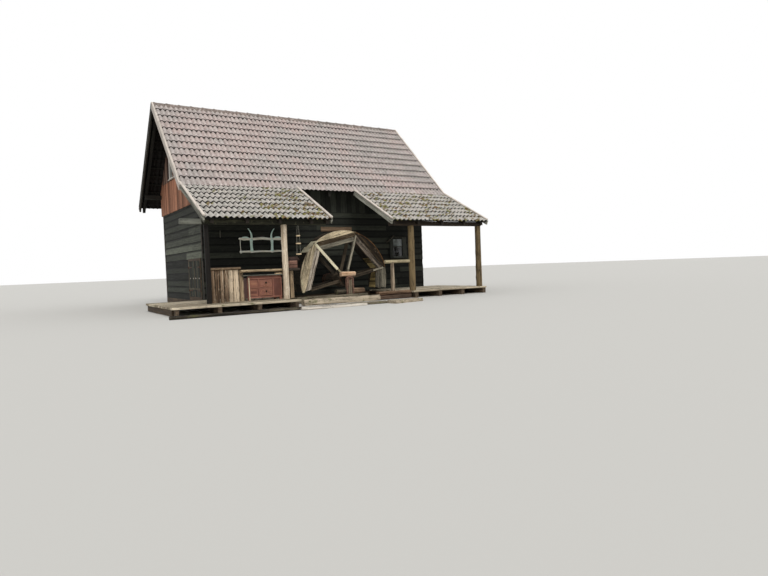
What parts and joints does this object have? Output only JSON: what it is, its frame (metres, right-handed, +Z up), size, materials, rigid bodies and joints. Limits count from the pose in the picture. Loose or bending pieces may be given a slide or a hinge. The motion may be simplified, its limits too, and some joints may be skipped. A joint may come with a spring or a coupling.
{
  "type": "watermill",
  "caption": "Timber watermill: steep tiled roof, boarded walls, two lean-to porches and the upper half of a breast wheel in front, with its bearing, counter, chest and decks.",
  "frame": {"origin": "middle of the house's footprint on the ground, on the underside of the middle floor joist", "axes": "+X along the ridge towards the right as seen from the wheel side, +Y to the back of the house, +Z up"},
  "size_m": [10.442, 9.97, 6.5256],
  "materials": {
    "dark_boards": "weathered",
    "grey_boards": "weathered",
    "gable_boards": "weathered",
    "pale_boards": "weathered",
    "frame_timber": "rough sawn",
    "peeled_log": "rough",
    "brown_log": "rough",
    "wheel_timber": "weathered",
    "cap_log": "rough",
    "deck_boards": "weathered",
    "roof_tile": "matt",
    "porch_tile": "mossy",
    "red_brown_paint": "worn paint",
    "yoke_paint": "worn paint",
    "iron": "rusty",
    "glass": "clear"
  },
  "bodies": {
    "mill": {"bargeboards_left": "pale_boards", "bargeboards_right": "pale_boards", "bearing_post": "grey_boards", "bearing_strap": "iron", "cap_log": "cap_log", "chest": "red_brown_paint", "corner_post": "frame_timber", "counter_legs": "brown_log", "counter_slabs": "brown_log", "counter_tops": "brown_log", "deck_bearers": "frame_timber", "deck_left": "deck_boards", "deck_right": "deck_boards", "door_frame": "frame_timber", "edge_log": "grey_boards", "floor_joists": "frame_timber", "front_wall": "dark_boards", "front_window": "frame_timber", "gable_windows": "pale_boards", "ground_floor": "deck_boards", "ground_timbers": "grey_boards", "hanging_shelves": "peeled_log", "left_corner_post": "dark_boards", "left_gable": "gable_boards", "left_wall_rear": "grey_boards", "left_wall_upper": "grey_boards", "log_post": "peeled_log", "porch_bargeboards": "pale_boards", "porch_beams": "frame_timber", "porch_rafters": "frame_timber", "porch_roof_left": "porch_tile", "porch_roof_right": "porch_tile", "rafters_front": "frame_timber", "rafters_rear": "frame_timber", "rail": "peeled_log", "rear_wall": "dark_boards", "ridge_beam": "frame_timber", "ridge_tiles": "roof_tile", "right_gable": "gable_boards", "right_wall": "grey_boards", "roof_front": "roof_tile", "roof_rear": "roof_tile", "round_posts": "brown_log", "sill_beams": "frame_timber", "step_slab": "grey_boards", "tie_beams": "frame_timber", "wall_plates": "frame_timber", "window_panes": "glass", "yoke": "yoke_paint"},
    "wheel": {"wheel_shaft": "wheel_timber", "wheel_arms": "wheel_timber", "felloes_front": "wheel_timber", "felloes_back": "wheel_timber", "rim_boards": "wheel_timber"},
    "door_leaf_front": {"door_leaf_front": "dark_boards"},
    "door_leaf_rear": {"door_leaf_rear": "dark_boards"}
  },
  "joints": [
    {"name": "wheel_turn", "type": "hinge", "parent": "mill", "child": "wheel", "pos_m": [0, -3.62, 0.65], "axis": [0, 1, 0], "range_deg": [-8, 8]},
    {"name": "front_leaf_hinge", "type": "hinge", "parent": "mill", "child": "door_leaf_front", "pos_m": [-3.9923, -2.224, 0.8], "axis": [0, 0, 1], "range_deg": [0, 95]},
    {"name": "rear_leaf_hinge", "type": "hinge", "parent": "mill", "child": "door_leaf_rear", "pos_m": [-3.9923, -0.916, 0.8], "axis": [0, 0, -1], "range_deg": [0, 95]}
  ]
}
